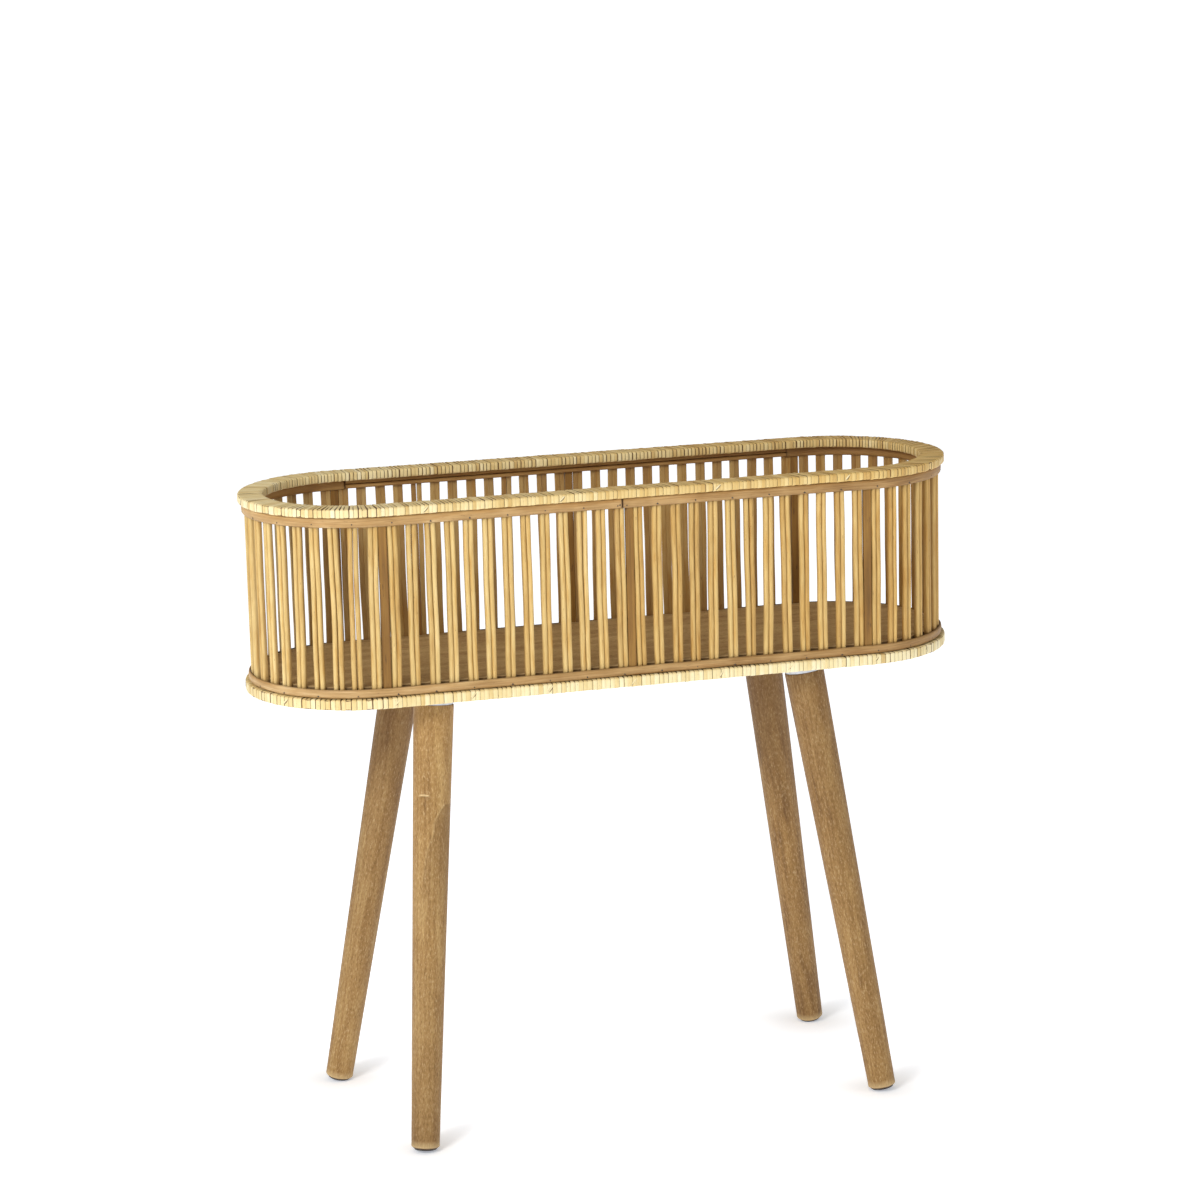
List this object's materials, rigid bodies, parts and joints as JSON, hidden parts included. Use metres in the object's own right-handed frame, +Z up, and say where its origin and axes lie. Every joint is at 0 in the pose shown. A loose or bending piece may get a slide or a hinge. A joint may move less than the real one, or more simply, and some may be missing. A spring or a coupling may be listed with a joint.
{
  "type": "rattan planter",
  "caption": "Tall floor planter: a long round-ended open basket of paired rattan reeds between cane-bound rims, over a base board on splayed tapered wooden legs.",
  "frame": {"origin": "centre of the overall footprint, on the floor", "axes": "+X along the basket's length, -Y out of the front, +Z up"},
  "size_m": [0.8, 0.3024, 0.71],
  "materials": {
    "cane_peel": "natural cane peel, satin",
    "hoop_core": "raw",
    "reed": "natural rattan core, satin",
    "band": "stained split rattan, satin",
    "post": "dark stained split rattan, satin",
    "board": "stained board, matt",
    "leg_wood": "stained wood, satin",
    "steel": "bright zinc",
    "glide": "matt"
  },
  "bodies": {
    "root": {"base_board": "board", "bottom_rim_binding": "cane_peel", "bottom_rim_core": "hoop_core", "glide_front_left": "glide", "glide_front_right": "glide", "glide_rear_left": "glide", "glide_rear_right": "glide", "hanger_bolt_front_left": "steel", "hanger_bolt_front_right": "steel", "hanger_bolt_rear_left": "steel", "hanger_bolt_rear_right": "steel", "inner_rod_lower": "post", "inner_rod_upper": "post", "inner_strip_left": "post", "inner_strip_right": "post", "leg_front_left": "leg_wood", "leg_front_right": "leg_wood", "leg_plate_front_left": "steel", "leg_plate_front_right": "steel", "leg_plate_rear_left": "steel", "leg_plate_rear_right": "steel", "leg_rear_left": "leg_wood", "leg_rear_right": "leg_wood", "lower_outer_band": "band", "plate_screws": "steel", "post_back_left": "post", "post_back_middle": "post", "post_back_right": "post", "post_front_left": "post", "post_front_middle": "post", "post_front_right": "post", "reeds_back_left": "reed", "reeds_back_right": "reed", "reeds_front_left": "reed", "reeds_front_right": "reed", "reeds_left_end": "reed", "reeds_right_end": "reed", "threaded_bush_front_left": "steel", "threaded_bush_front_right": "steel", "threaded_bush_rear_left": "steel", "threaded_bush_rear_right": "steel", "top_rim_binding": "cane_peel", "top_rim_core": "hoop_core", "upper_outer_band": "band"}
  },
  "joints": []
}
